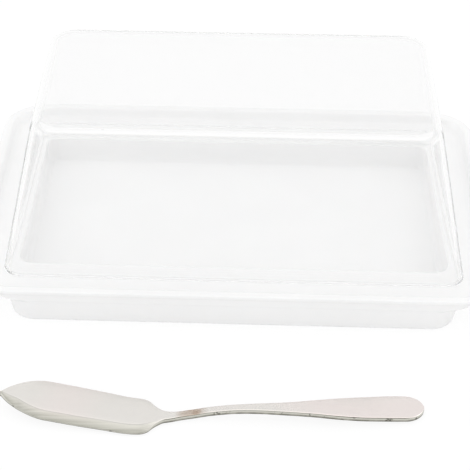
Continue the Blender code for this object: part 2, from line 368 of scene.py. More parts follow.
def spread(add, link, source, low, high, to_low, to_high):
    """A value mapped from one range to another, and held at its ends."""
    mapped = add("ShaderNodeMapRange")
    mapped.inputs["From Min"].default_value = low
    mapped.inputs["From Max"].default_value = high
    mapped.inputs["To Min"].default_value = to_low
    mapped.inputs["To Max"].default_value = to_high
    link(source, mapped.inputs["Value"])
    return mapped.outputs["Result"]


def bumped(add, link, height, distance, below=None):
    """Adds one layer of relief, in metres, over the layers below."""
    bump = add("ShaderNodeBump", Strength=1.0, Distance=distance)
    link(height, bump.inputs["Height"])
    if below is not None:
        link(below, bump.inputs["Normal"])
    return bump.outputs["Normal"]


def hairlines(add, link, place, turn, scale, reach, threshold):
    """Thin scattered scratches: a stretched noise cut off near its peaks."""
    turned = add("ShaderNodeMapping", Rotation=[math.radians(turn)] * 3)
    link(place, turned.inputs["Vector"])
    drawn_out = add("ShaderNodeMapping", Scale=(reach, 1.0, 1.0))
    link(turned.outputs[0], drawn_out.inputs["Vector"])
    lines = add("ShaderNodeTexNoise", Scale=scale, Detail=SCRATCH_DETAIL)
    lines.inputs["Roughness"].default_value = SCRATCH_ROUGHNESS
    lines.inputs["Distortion"].default_value = SCRATCH_DISTORTION
    link(drawn_out.outputs[0], lines.inputs["Vector"])
    full = threshold + SCRATCH_SOFTNESS
    return spread(add, link, lines.outputs["Fac"], threshold, full, 0.0, 1.0)


def white_plastic():
    material, shader, add, link = material_graph("tray_white_plastic")
    place = add("ShaderNodeTexCoord").outputs["Object"]
    clouds = noise(add, link, place, TRAY_CLOUD_SCALE)
    tint = add("ShaderNodeValToRGB")
    for stop, (position, colour) in zip(tint.color_ramp.elements, TRAY_TINTS):
        stop.position = position
        stop.color = colour
    link(clouds, tint.inputs["Fac"])
    link(tint.outputs["Color"], shader.inputs["Base Color"])
    grain = noise(add, link, place, TRAY_GRAIN_SCALE, 2.0)
    handling = noise(add, link, place, TRAY_HANDLING_SCALE, 4.0)
    polish = spread(add, link, handling, *TRAY_HANDLING_RANGE, *TRAY_ROUGHNESS)
    link(polish, shader.inputs["Roughness"])
    waves = noise(add, link, place, TRAY_WAVE_SCALE, 1.0)
    scratches = hairlines(add, link, place, TRAY_SCRATCH_TURN, TRAY_SCRATCH_SCALE,
                          TRAY_SCRATCH_REACH, TRAY_SCRATCH_THRESHOLD)
    relief = bumped(add, link, waves, TRAY_WAVE_DEPTH)
    relief = bumped(add, link, grain, TRAY_GRAIN_DEPTH, relief)
    relief = bumped(add, link, scratches, TRAY_SCRATCH_DEPTH, relief)
    link(relief, shader.inputs["Normal"])
    shader.inputs["IOR"].default_value = TRAY_IOR
    shader.inputs["Subsurface Weight"].default_value = TRAY_GLOW_WEIGHT
    shader.inputs["Subsurface Radius"].default_value = TRAY_GLOW_RADIUS
    shader.inputs["Subsurface Scale"].default_value = TRAY_GLOW_REACH
    return material


def lip_outline(inset, height):
    return ring(tray_high.x - inset, tray_high.y - inset, LIP_CORNER - inset, height)


def body_outline(inset, height):
    half_length = tray_high.x - GRIP_OVERHANG - inset
    half_width = tray_high.y - SIDE_OVERHANG - inset
    return ring(half_length, half_width, BODY_CORNER - inset, height)


def land_outline(height):
    inset = LID_WALL + LAND_GAP
    return ring(lid_high.x - inset, lid_high.y - inset, LID_CORNER - inset, height)


def well_outline(height):
    land = land_outline(height)
    return ring(land[0] - LAND_SIDE, land[1] - LAND_FRONT, WELL_CORNER, height)


def tray_levels():
    lip_top = SHELF_HEIGHT + LIP_RISE
    lip_under = lip_top - LIP_EDGE
    lip_middle = (lip_top + lip_under) / 2
    root = SHELF_HEIGHT - TRAY_WALL
    land_top = SHELF_HEIGHT + LAND_RISE
    foot = body_outline(BODY_DRAFT + BODY_FOOT_ROUNDING, 0)
    body_top = body_outline(0, root)
    lip_edge = lip_outline(PARTING_LINE_RISE, lip_under)
    underside = []
    for length_share, width_share, height_share in GRIP_SHARES:
        outline = body_top + (lip_edge - body_top) * np.array(
            (length_share, width_share, length_share, height_share)
        )
        underside.append(outline)
    floor = grown(well_outline(0), -WELL_INSET, FLOOR_THICKNESS)
    half_line = PARTING_LINE_WIDTH / 2
    return [
        (spine(foot), 0),
        (foot, BODY_FOOT_ROUNDING / 2),
        (body_outline(BODY_DRAFT, BODY_FOOT_ROUNDING), BODY_FOOT_ROUNDING / 2),
        (body_top, GRIP_ROOT_ROUNDING),
        (underside[0], GRIP_ROOT_ROUNDING),
        (underside[1], LIP_ROUNDING),
        (lip_edge, LIP_ROUNDING),
        (lip_outline(PARTING_LINE_RISE, lip_middle - half_line), 0),
        (lip_outline(0, lip_middle), 0),
        (lip_outline(PARTING_LINE_RISE, lip_middle + half_line), 0),
        (lip_outline(PARTING_LINE_RISE, lip_top), LIP_ROUNDING),
        (lip_outline(LIP_WIDTH, lip_top), LIP_ROUNDING),
        (lip_outline(LIP_WIDTH + LIP_SLOPE, SHELF_HEIGHT), LIP_FOOT_ROUNDING),
        (land_outline(SHELF_HEIGHT), LAND_ROUNDING / 2),
        (land_outline(land_top), LAND_ROUNDING),
        (well_outline(land_top), WELL_EDGE_ROUNDING),
        (floor, WELL_FILLET),
        (grown(floor, -WELL_FILLET, FLOOR_THICKNESS), 0),
        (spine(grown(floor, -WELL_FILLET, FLOOR_THICKNESS)), 0),
    ]


def hollow_levels():
    """The hollow below one long shelf, with its mouth's edge broken."""
    outer = body_outline(BODY_DRAFT + TRAY_WALL, 0)
    inner = grown(well_outline(0), TRAY_WALL - WELL_INSET, 0)
    half_width = (outer[1] - inner[1]) / 2
    mouth = ring(inner[0] - HOLLOW_END_MARGIN, half_width, HOLLOW_CORNER, HOLLOW_MOUTH_BEVEL)
    below = grown(mouth, 2 * HOLLOW_MOUTH_BEVEL, -HOLLOW_MOUTH_BEVEL)
    top = grown(mouth, -HOLLOW_DRAFT, SHELF_HEIGHT - TRAY_WALL)
    levels = [(spine(below), 0), (below, 0), (mouth, 0), (top, HOLLOW_DRAFT), (spine(top), 0)]
    return levels, (outer[1] + inner[1]) / 2


def build_tray():
    tray = swept("tray_moulding", rounded_profile(tray_levels()), white_plastic())
    levels, middle = hollow_levels()
    cutters = []
    for side in (-1, 1):
        cutter = swept("tray_hollow_cutter", rounded_profile(levels), None)
        cutter.data.transform(Matrix.Translation((0, side * middle, 0)))
        cutters.append(cutter)
        cut = tray.modifiers.new("hollow", "BOOLEAN")
        cut.object = cutter
    finished = as_plain_mesh(tray, "tray_body")
    for item in cutters + [tray]:
        bpy.data.objects.remove(item)
    smoothed(finished, TRAY_SHARP_DEGREES)
    return finished


tray_body = build_tray()
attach(tray_body, "tray")
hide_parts("tray")


# Lid. One moulding of clear polystyrene, a tapered box open below. It stands on the tray's
# shelf round the low land and is held by its weight alone. The foot of its long sides is
# dull from sliding on the shelf.
LID_TOP_CORNER = 0.0090
LID_END_INSET = 0.0108
LID_SIDE_INSET = 0.0144
LID_TOP_ROUNDING = 0.0030
LID_INNER_ROUNDING = 0.0021
LID_RIM_ROUNDING = 0.0005
LID_RIM_TRIM = 0.00008
LID_SHARP_DEGREES = 60

# Clear plastic: polished, with slow waves, thin scratches and a few specks of dust, and a
# weak grey tint in its depth. Its scratches run in three directions.
LID_COLOUR = (0.995, 0.995, 0.995, 1)
LID_IOR = 1.52
LID_TINT = (0.90, 0.905, 0.905, 1)
LID_TINT_DENSITY = 16.0
LID_PASSING_COLOUR = (0.985, 0.985, 0.985, 1)
LID_HANDLING_SCALE = 90.0
LID_HANDLING_RANGE = (0.45, 0.75)
LID_POLISH = (0.004, 0.02)
LID_WAVE_SCALE = 30.0
LID_WAVE_DEPTH = 0.000015
LID_SCRATCH_TURNS = (18, 71, 133)
LID_SCRATCH_SCALE = 1500.0
LID_SCRATCH_REACH = 0.04
LID_SCRATCH_THRESHOLD = 0.80
LID_SCRATCH_DEPTH = 0.000004
LID_SPECK_SCALE = 260.0
LID_SPECK_RANGE = (0.86, 0.90)
LID_SPECK_DEPTH = 0.00002
LID_SCUFF_HEIGHT = 0.0007
LID_SCUFF_FADE = 0.0003
LID_SCUFF_END_MARGIN = 0.0022
LID_SCUFF_END_FADE = 0.0030
LID_SCUFF_ROUGHNESS = 0.55
LID_SCUFF_CLEARNESS = 0.35


def joined(add, link, operation, first, second):
    """Two values joined by one operation, such as a product or the larger of the two."""
    value = add("ShaderNodeMath", operation=operation)
    link(first, value.inputs[0])
    link(second, value.inputs[1])
    return value.outputs[0]


def shader_blend(add, link, share, first, second):
    """The first shader where the share is 0, and the second where it is 1."""
    either = add("ShaderNodeMixShader")
    link(share, either.inputs[0])
    link(first, either.inputs[1])
    link(second, either.inputs[2])
    return either.outputs[0]


def scuffed_foot(add, link, place):
    """1 on the foot of the long sides and 0 elsewhere."""
    spot = add("ShaderNodeSeparateXYZ")
    link(place, spot.inputs[0])
    top = lid_low.z + LID_SCUFF_HEIGHT
    low = spread(add, link, spot.outputs["Z"], top - LID_SCUFF_FADE, top, 1.0, 0.0)
    away = add("ShaderNodeMath", operation="ABSOLUTE")
    link(spot.outputs["X"], away.inputs[0])
    end = lid_high.x - LID_SCUFF_END_MARGIN
    along = spread(add, link, away.outputs[0], end - LID_SCUFF_END_FADE, end, 1.0, 0.0)
    return joined(add, link, "MULTIPLY", low, along)


def clear_plastic():
    """Clear plastic for what is seen through it or mirrored in it. Lamplight and light that a
    dull face has scattered pass it straight, so that the tray below isn't left in the dark."""
    material, shader, add, link = material_graph("lid_clear_plastic")
    place = add("ShaderNodeTexCoord").outputs["Object"]
    shader.inputs["Base Color"].default_value = LID_COLOUR
    shader.inputs["IOR"].default_value = LID_IOR
    handling = noise(add, link, place, LID_HANDLING_SCALE, 4.0)
    polish = spread(add, link, handling, *LID_HANDLING_RANGE, *LID_POLISH)
    scuff = scuffed_foot(add, link, place)
    clearness = spread(add, link, scuff, 0.0, 1.0, 1.0, LID_SCUFF_CLEARNESS)
    link(clearness, shader.inputs["Transmission Weight"])
    dullness = spread(add, link, scuff, 0.0, 1.0, 0.0, LID_SCUFF_ROUGHNESS)
    link(joined(add, link, "MAXIMUM", polish, dullness), shader.inputs["Roughness"])
    waves = noise(add, link, place, LID_WAVE_SCALE, 1.0)
    relief = bumped(add, link, waves, LID_WAVE_DEPTH)
    for turn in LID_SCRATCH_TURNS:
        scratches = hairlines(add, link, place, turn, LID_SCRATCH_SCALE,
                              LID_SCRATCH_REACH, LID_SCRATCH_THRESHOLD)
        relief = bumped(add, link, scratches, LID_SCRATCH_DEPTH, relief)
    dust = noise(add, link, place, LID_SPECK_SCALE, 0.0)
    specks = spread(add, link, dust, *LID_SPECK_RANGE, 0.0, 1.0)
    relief = bumped(add, link, specks, LID_SPECK_DEPTH, relief)
    link(relief, shader.inputs["Normal"])

    paths = add("ShaderNodeLightPath").outputs
    scattered = joined(add, link, "MAXIMUM", paths["Is Shadow Ray"], paths["Is Diffuse Ray"])
    passing = add("ShaderNodeBsdfTransparent", Color=LID_PASSING_COLOUR)
    surface = shader_blend(add, link, scattered, shader.outputs[0], passing.outputs[0])
    tint = add("ShaderNodeVolumeAbsorption", Color=LID_TINT, Density=LID_TINT_DENSITY)
    output = material.node_tree.nodes["Material Output"]
    link(surface, output.inputs["Surface"])
    link(tint.outputs[0], output.inputs["Volume"])
    return material


def lid_levels():
    """From the middle of the ceiling down the inner wall, round the foot and up to the top."""
    foot = ring(lid_high.x + LID_RIM_TRIM, lid_high.y + LID_RIM_TRIM, LID_CORNER, lid_low.z)
    top = ring(foot[0] - LID_END_INSET, foot[1] - LID_SIDE_INSET, LID_TOP_CORNER, lid_high.z)
    inner_foot = grown(foot, -LID_WALL, lid_low.z)
    height = lid_high.z - lid_low.z
    inner_length = top[0] - LID_WALL * (1 - LID_END_INSET / height)
    inner_width = top[1] - LID_WALL * (1 - LID_SIDE_INSET / height)
    inner_top = ring(inner_length, inner_width, LID_TOP_CORNER - LID_WALL, lid_high.z - LID_WALL)
    return [
        (spine(inner_top), 0),
        (inner_top, LID_INNER_ROUNDING),
        (inner_foot, LID_RIM_ROUNDING),
        (foot, LID_RIM_ROUNDING),
        (top, LID_TOP_ROUNDING),
        (spine(top), 0),
    ]


lid_shell = swept("lid_shell", rounded_profile(lid_levels()), clear_plastic())
smoothed(lid_shell, LID_SHARP_DEGREES)
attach(lid_shell, "lid")
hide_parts("lid")


# Butter knife. One stamping of stainless steel, ground to a bevel along the belly of the
# blade, drawn up into a narrow arched neck and polished along its length.
knife_low, knife_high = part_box("butter_knife")

KNIFE_BLADE_WIDTH = 0.0179
KNIFE_THICKNESS = 0.0018
KNIFE_EDGE_THICKNESS = 0.0007
KNIFE_BEVEL_WIDTH = 0.0030
KNIFE_BEVEL_MOST_SHARE = 0.60
KNIFE_SIDE_ROUNDING = 0.0005
KNIFE_ROUND_MOST_SHARE = 0.85
KNIFE_SLOPE_STEP = 0.001
KNIFE_TIP_REACH = 0.0155
KNIFE_END_REACH = 0.0064
KNIFE_END_WIDTH = 0.0012
KNIFE_ARCH = 0.0036
KNIFE_SWEEP = 0.0100
KNIFE_Y = -0.10924
KNIFE_BLADE_END_SHARE = 0.385
KNIFE_BLADE_FADE_SHARE = 0.050
KNIFE_TIP_POWER = 1.7
KNIFE_TIP_FULLNESS = 0.8
KNIFE_BEVEL_POWER = 1.3
KNIFE_LINE_DEPTH = 0.00002
KNIFE_LINE_WIDTH = 0.00022
KNIFE_END_CROWDING_SHARE = 0.45
KNIFE_ROWS = 300
KNIFE_ROUND_STEPS = 5
KNIFE_FLAT_STEPS = 7
KNIFE_BEVEL_STEPS = 8
KNIFE_LINE_SHARES = (0.25, 0.5, 0.75, 1.0)
KNIFE_EDGE_ROUND_SHARE = 1 / 3
KNIFE_FACE_POINTS = 3
KNIFE_SHARP_DEGREES = 35

# What share of each finish and each painted light a point has: painted reflection on the
# ground bevel, sheared side (rougher, and painted with a dark reflection), painted shade on the
# lower edge. The bevel's painted reflection grows from its first line to the cutting edge.
POLISHED = (0, 0, 0)
SHEARED_AND_SHADED = (0, 1, 0)
SHADED_LOWER_EDGE = (0, 1, 1)
KNIFE_BEVEL_REFLECTION_START = 0.40
KNIFE_BEVEL_REFLECTION_POWER = 0.7

# Polished steel: faces with two slightly different tones, a bevel coloured with a painted streaky
# reflection, a sheared side with a painted dark reflection and painted dark specks of reflection,
# painted shade along the lower edge, and two brown stains on the neck. Each stain is a centre
# and a reach.
KNIFE_FACE_TONES = ((0.862, 0.836, 0.800, 1), (0.908, 0.838, 0.812, 1))
KNIFE_FACE_TONE_SCALE = 22.0
KNIFE_FACE_TONE_RANGE = (0.40, 0.62)
KNIFE_CLOUD_SCALE = 300.0
KNIFE_CLOUD_RANGE = (0.30, 0.60)
KNIFE_CLOUD_WEIGHTS = (0.6, 1.0)
KNIFE_STAINS = (((-0.0120, -0.1130, 0.0020), 0.0058), ((-0.0215, -0.1210, 0.0014), 0.0022))
KNIFE_STAIN_CORE_SHARE = 0.35
KNIFE_STAIN_COLOUR = (0.52, 0.41, 0.33, 1)
KNIFE_BEVEL_REFLECTION_TONES = ((0.375, 0.370, 0.335, 1), (0.500, 0.492, 0.455, 1))
KNIFE_REFLECTION_STREAK_SCALE = 1500.0
KNIFE_REFLECTION_STREAK_STRETCH = (0.03, 1.0, 1.0)
KNIFE_STREAK_RANGE = (0.3, 0.7)
KNIFE_SHEARED_SIDE_SHADE_COLOUR = (0.630, 0.620, 0.560, 1)
KNIFE_REFLECTION_SPECK_COLOUR = (0.080, 0.075, 0.060, 1)
KNIFE_REFLECTION_SPECK_SCALE = 420.0
KNIFE_REFLECTION_SPECK_RANGE = (0.64, 0.68)
KNIFE_REFLECTION_SPECK_WEIGHT = 0.85
KNIFE_LOWER_EDGE_SHADE_COLOUR = (0.130, 0.125, 0.100, 1)
KNIFE_POLISH_SCALE = 3600.0
KNIFE_POLISH_STRETCH = (0.010, 1.0, 1.0)
KNIFE_POLISH_DEPTH = 0.0000012
KNIFE_ROUGHNESS = (0.13, 0.18)
KNIFE_SHEARED_ROUGHER = 0.08
KNIFE_WAVE_SCALE = 60.0
KNIFE_WAVE_DEPTH = 0.00003
KNIFE_ANISOTROPY = 0.35

# Half width, height and sideways place along the knife, as shares of the blade's half width,
# the arch and the sweep.
KNIFE_WIDTH_SHARES = (
    (0.000, 1.00), (0.110, 1.00), (0.170, 0.995), (0.230, 0.970), (0.295, 0.935),
    (0.335, 0.895), (0.352, 0.790), (0.370, 0.490), (0.392, 0.255), (0.430, 0.180),
    (0.500, 0.178), (0.560, 0.185), (0.620, 0.225), (0.685, 0.300), (0.745, 0.405),
    (0.805, 0.525), (0.870, 0.600), (0.935, 0.630), (1.000, 0.615),
)
KNIFE_HEIGHT_SHARES = (
    (0.000, 1.02), (0.110, 0.62), (0.220, 0.30), (0.330, 0.07), (0.400, 0.00),
    (0.450, 0.11), (0.500, 0.38), (0.560, 0.66), (0.630, 0.77), (0.720, 0.74),
    (0.860, 0.43), (0.950, 0.16), (1.000, 0.03),
)
KNIFE_PLACE_SHARES = (
    (0.000, 0.120), (0.050, 0.090), (0.110, 0.000), (0.230, -0.240), (0.330, -0.430),
    (0.400, -0.400), (0.450, -0.290), (0.500, -0.215), (0.560, -0.190), (0.650, -0.165),
    (0.750, -0.080), (0.850, 0.060), (0.930, 0.220), (1.000, 0.330),
)


def curve_value(keys, place):
    """Smooth value through keys, with no overshoot between them."""
    places = [key[0] for key in keys]
    values = [key[1] for key in keys]
    rises = [(b - a) / (q - p) for a, b, p, q in zip(values, values[1:], places, places[1:])]
    slopes = [rises[0]]
    for before, after in zip(rises, rises[1:]):
        slopes.append(0.0 if before * after <= 0 else 2 * before * after / (before + after))
    slopes.append(rises[-1])
    index = max(i for i in range(len(keys) - 1) if place >= places[i])
    span = places[index + 1] - places[index]
    t = (place - places[index]) / span
    held = values[index] * (2 * t**3 - 3 * t**2 + 1)
    held += values[index + 1] * (3 * t**2 - 2 * t**3)
    leaning = slopes[index] * (t**3 - 2 * t**2 + t) + slopes[index + 1] * (t**3 - t**2)
    return held + leaning * span


def knife_half_width(place, length):
    width = KNIFE_BLADE_WIDTH / 2 * curve_value(KNIFE_WIDTH_SHARES, place)
    from_tip = place * length / KNIFE_TIP_REACH
    from_end = (1 - place) * length / KNIFE_END_REACH
    if from_tip < 1:
        width *= (1 - (1 - from_tip) ** KNIFE_TIP_POWER) ** KNIFE_TIP_FULLNESS
    if from_end < 1:
        width *= math.sqrt(max(1 - (1 - from_end) ** 2, 0.0))
    return max(width, KNIFE_END_WIDTH / 2)


def arc(centre_y, centre_z, reach_y, reach_z, start_angle):
    """A quarter of an ellipse, from a start angle on."""
    points = []
    for step in range(KNIFE_ROUND_STEPS + 1):
        angle = math.radians(start_angle + 90 * step / KNIFE_ROUND_STEPS)
        y = centre_y + reach_y * math.cos(angle)
        z = centre_z + reach_z * math.sin(angle)
        points.append((y, z))
    return points


def knife_section(place, length):
    """Cross section, with the sharpened bevel on the side towards -Y. Each point has its shares
    of finish and of painted light.
    Where the outline turns towards the tip or the end, the roundings reach further across."""
    half = knife_half_width(place, length)
    after = min(place + KNIFE_SLOPE_STEP, 1)
    before = max(place - KNIFE_SLOPE_STEP, 0)
    widening = knife_half_width(after, length) - knife_half_width(before, length)
    stretch = math.hypot(1, widening / (after - before) / length)
    rise = KNIFE_THICKNESS
    round_z = KNIFE_SIDE_ROUNDING
    round_y = min(KNIFE_SIDE_ROUNDING * stretch, half * KNIFE_ROUND_MOST_SHARE)
    blade_left = (KNIFE_BLADE_END_SHARE - place) / KNIFE_BLADE_FADE_SHARE
    blade_left = min(max(blade_left, 0), 1)
    blade_share = blade_left * blade_left * (3 - 2 * blade_left)
    bevel = min(KNIFE_BEVEL_WIDTH * stretch, half * KNIFE_BEVEL_MOST_SHARE) * blade_share
    edge_share = bevel / (KNIFE_BEVEL_WIDTH * stretch)
    edge_top = rise - (rise - KNIFE_EDGE_THICKNESS) * edge_share
    small_z = min(round_z, edge_top * KNIFE_EDGE_ROUND_SHARE)
    small_y = min(round_y, small_z * stretch)

    # The bevel's share of painted reflection, growing from its first line to the cutting edge.
    def bevel_reflection_share(across):
        share = KNIFE_BEVEL_REFLECTION_START + (1 - KNIFE_BEVEL_REFLECTION_START) * across**KNIFE_BEVEL_REFLECTION_POWER
        return (blade_share * share, 0, 0)

    # Sheared points take a painted dark reflection as well as their real extra roughness.
    side = arc(half - round_y, rise - round_z, round_y, round_z, 0)
    points = [(y, z, SHEARED_AND_SHADED) for y, z in side[:-KNIFE_FACE_POINTS]]
    points += [(y, z, POLISHED) for y, z in side[-KNIFE_FACE_POINTS:]]
    start = half - round_y
    flat = start + half - small_y - bevel
    for step in range(1, KNIFE_FLAT_STEPS + 1):
        points.append((start - flat * step / KNIFE_FLAT_STEPS, rise, POLISHED))
    line_start = points[-1][0]
    line_reach = min(KNIFE_LINE_WIDTH, bevel / 2)
    for share in KNIFE_LINE_SHARES:
        drop = KNIFE_LINE_DEPTH * edge_share * math.sin(math.pi * share) ** 2
        points.append((line_start - line_reach * share, rise - drop, bevel_reflection_share(0)))
    bevel_start = points[-1][0]
    for step in range(1, KNIFE_BEVEL_STEPS):
        share = step / KNIFE_BEVEL_STEPS
        y = bevel_start + (small_y - half - bevel_start) * share
        z = rise - (rise - edge_top) * share**KNIFE_BEVEL_POWER
        points.append((y, z, bevel_reflection_share(share)))
    near = arc(small_y - half, edge_top - small_z, small_y, small_z, 90)
    upper = [(y, z, bevel_reflection_share(1)) for y, z in near[:KNIFE_FACE_POINTS]]
    upper += [(y, z, SHEARED_AND_SHADED) for y, z in near[KNIFE_FACE_POINTS:]]
    lower = arc(small_y - half, small_z, small_y, small_z, 180)
    lower += arc(half - round_y, round_z, round_y, round_z, 270)
    return points + upper + [(y, z, SHADED_LOWER_EDGE) for y, z in lower]


def build_knife(material):
    length = knife_high.x - knife_low.x
    low = min(height for place, height in KNIFE_HEIGHT_SHARES)
    builder = bmesh.new()
    finish_and_light_layer = builder.verts.layers.float_color.new("finish_and_painted_light_shares")
    rows = []
    for step in range(KNIFE_ROWS + 1):
        even = step / KNIFE_ROWS
        eased = (1 - math.cos(math.pi * even)) / 2
        place = even + KNIFE_END_CROWDING_SHARE * (eased - even)
        x = knife_low.x + place * length
        y = KNIFE_Y + KNIFE_SWEEP * curve_value(KNIFE_PLACE_SHARES, place)
        z = KNIFE_ARCH * (curve_value(KNIFE_HEIGHT_SHARES, place) - low)
        rows.append([])
        for side, rise, finish in knife_section(place, length):
            rows[-1].append(builder.verts.new((x, y + side, z + rise)))
            rows[-1][-1][finish_and_light_layer] = (*finish, 1)
    count = len(rows[0])
    for near, far in zip(rows, rows[1:]):
        for index in range(count):
            after = (index + 1) % count
            builder.faces.new((near[index], near[after], far[after], far[index]))
    builder.faces.new(list(reversed(rows[0])))
    builder.faces.new(rows[-1])
    bmesh.ops.remove_doubles(builder, verts=builder.verts, dist=WELD_DISTANCE)
    bmesh.ops.recalc_face_normals(builder, faces=builder.faces)
    mesh = bpy.data.meshes.new("knife_steel")
    builder.to_mesh(mesh)
    builder.free()
    knife = bpy.data.objects.new("knife_steel", mesh)
    bpy.context.scene.collection.objects.link(knife)
    mesh.materials.append(material)
    smoothed(knife, KNIFE_SHARP_DEGREES)
    return knife


def colour_blend(add, link, share, first, second):
    """The first colour where the share is 0, and the second where it is 1."""
    mix = add("ShaderNodeMix", data_type="RGBA")
    factor, first_colour, second_colour = (mix.inputs[index] for index in (0, 6, 7))
    pairs = ((factor, share), (first_colour, first), (second_colour, second))
    for socket, source in pairs:
        if isinstance(source, bpy.types.NodeSocket):
            link(source, socket)
        else:
            socket.default_value = source
    return mix.outputs[2]


def polished_steel():
    """Polished faces, a sharpened bevel with a painted streaky reflection, and a rougher sheared
    side with a painted dark reflection and painted shade along its lower edge.
    """
    material, shader, add, link = material_graph("knife_polished_steel")
    place = add("ShaderNodeTexCoord").outputs["Object"]
    shares = add("ShaderNodeAttribute", attribute_name="finish_and_painted_light_shares")
    finish = add("ShaderNodeSeparateColor")
    link(shares.outputs["Color"], finish.inputs[0])
    bevel_reflection_share, sheared_and_shaded, lower_edge_shade = finish.outputs

    def painted(share, colour, paint):
        return colour_blend(add, link, share, colour, paint)

    def stain(centre, reach):
        """A soft round stain: 1 at its centre and 0 at its reach."""
        away = add("ShaderNodeVectorMath", operation="DISTANCE")
        link(place, away.inputs[0])
        away.inputs[1].default_value = centre
        core = reach * KNIFE_STAIN_CORE_SHARE
        return spread(add, link, away.outputs["Value"], core, reach, 1.0, 0.0)

    tones = noise(add, link, place, KNIFE_FACE_TONE_SCALE, 1.0)
    tones = spread(add, link, tones, *KNIFE_FACE_TONE_RANGE, 0.0, 1.0)
    clouds = noise(add, link, place, KNIFE_CLOUD_SCALE, 2.0)
    clouds = spread(add, link, clouds, *KNIFE_CLOUD_RANGE, *KNIFE_CLOUD_WEIGHTS)
    colour = painted(tones, *KNIFE_FACE_TONES)
    for centre, reach in KNIFE_STAINS:
        stained = joined(add, link, "MULTIPLY", stain(centre, reach), clouds)
        colour = painted(stained, colour, KNIFE_STAIN_COLOUR)
    # The bevel's darker streaky tones are a painted reflection.
    reflection_streaks = noise(add, link, place, KNIFE_REFLECTION_STREAK_SCALE, 1.0, KNIFE_REFLECTION_STREAK_STRETCH)
    reflection_streaks = spread(add, link, reflection_streaks, *KNIFE_STREAK_RANGE, 0.0, 1.0)
    colour = painted(bevel_reflection_share, colour, painted(reflection_streaks, *KNIFE_BEVEL_REFLECTION_TONES))
    # The sheared side's olive tone is a painted dark reflection; its added roughness is real.
    colour = painted(sheared_and_shaded, colour, KNIFE_SHEARED_SIDE_SHADE_COLOUR)
    # Dark specks on the sheared side, painted to stand for a broken dark reflection.
    reflection_specks = noise(add, link, place, KNIFE_REFLECTION_SPECK_SCALE, 3.0)
    reflection_specks = spread(add, link, reflection_specks, *KNIFE_REFLECTION_SPECK_RANGE, 0.0, KNIFE_REFLECTION_SPECK_WEIGHT)
    colour = painted(joined(add, link, "MULTIPLY", reflection_specks, sheared_and_shaded), colour, KNIFE_REFLECTION_SPECK_COLOUR)
    # Painted shade along the lower edge, standing in for its contact shadow and dark reflection.
    darkened = joined(add, link, "MULTIPLY", lower_edge_shade, clouds)
    colour = painted(darkened, colour, KNIFE_LOWER_EDGE_SHADE_COLOUR)
    link(colour, shader.inputs["Base Color"])
    shader.inputs["Metallic"].default_value = 1.0

    lines = noise(add, link, place, KNIFE_POLISH_SCALE, 2.0, KNIFE_POLISH_STRETCH)
    rough = add("ShaderNodeMath", operation="MULTIPLY_ADD")
    link(sheared_and_shaded, rough.inputs[0])
    rough.inputs[1].default_value = KNIFE_SHEARED_ROUGHER
    link(spread(add, link, lines, *KNIFE_STREAK_RANGE, *KNIFE_ROUGHNESS), rough.inputs[2])
    link(rough.outputs[0], shader.inputs["Roughness"])
    waves = noise(add, link, place, KNIFE_WAVE_SCALE, 1.0)
    relief = bumped(add, link, waves, KNIFE_WAVE_DEPTH)
    relief = bumped(add, link, lines, KNIFE_POLISH_DEPTH, relief)
    link(relief, shader.inputs["Normal"])
    shader.inputs["Anisotropic"].default_value = KNIFE_ANISOTROPY
    return material


knife_steel = build_knife(polished_steel())
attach(knife_steel, "knife")
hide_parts("butter_knife")


# Table. A plain pale sheet under the dish. It is white to the eye, in the steel and through
# the lid, and keeps a soft shadow. For the light that it sends up it is a pale matt paper.
TABLE_SIZE = 6.0
TABLE_DROP = 0.0002
TABLE_COLOUR = (0.90, 0.90, 0.90, 1)
TABLE_ROUGHNESS = 0.9
TABLE_GLOSS = 0.1
TABLE_FIBRE_SCALE = 1800.0
TABLE_FIBRE_DEPTH = 0.00001
TABLE_SHADOW_COLOUR = (0.12, 0.12, 0.12, 1)
TABLE_GLOW = 0.89
WHITE = (1, 1, 1, 1)


def seen_or_mirrored(add, link):
    """1 for a ray that the eye, a shiny face or clear plastic sends out, and 0 for light."""
    paths = add("ShaderNodeLightPath").outputs
    direct = joined(add, link, "MAXIMUM", paths["Is Camera Ray"], paths["Is Glossy Ray"])
    return joined(add, link, "MAXIMUM", direct, paths["Is Transmission Ray"])


def pale_sheet():
    """The shown sheet is mostly an even glow, with a share that takes the shadow. From below
    there is nothing to see, so the underside of the dish can be looked at."""
    material, shader, add, link = material_graph("table_sheet")
    place = add("ShaderNodeTexCoord").outputs["Object"]
    shader.inputs["Base Color"].default_value = TABLE_COLOUR
    shader.inputs["Roughness"].default_value = TABLE_ROUGHNESS
    shader.inputs["Specular IOR Level"].default_value = TABLE_GLOSS
    fibre = noise(add, link, place, TABLE_FIBRE_SCALE, 2.0)
    link(bumped(add, link, fibre, TABLE_FIBRE_DEPTH), shader.inputs["Normal"])
    shadowed = add("ShaderNodeBsdfDiffuse", Color=TABLE_SHADOW_COLOUR)
    glow = add("ShaderNodeEmission", Color=WHITE, Strength=TABLE_GLOW)
    shown = add("ShaderNodeAddShader")
    link(shadowed.outputs[0], shown.inputs[0])
    link(glow.outputs[0], shown.inputs[1])
    seen = seen_or_mirrored(add, link)
    above = shader_blend(add, link, seen, shader.outputs[0], shown.outputs[0])
    below = add("ShaderNodeNewGeometry").outputs["Backfacing"]
    clear = add("ShaderNodeBsdfTransparent").outputs[0]
    sheet = shader_blend(add, link, below, above, clear)
    link(sheet, material.node_tree.nodes["Material Output"].inputs["Surface"])
    return material


bpy.ops.mesh.primitive_plane_add(size=TABLE_SIZE, location=(0, 0, -TABLE_DROP))
table = bpy.context.active_object
table.name = "table"
table.data.transform(table.matrix_world)
table.matrix_world.identity()
table.data.materials.append(pale_sheet())


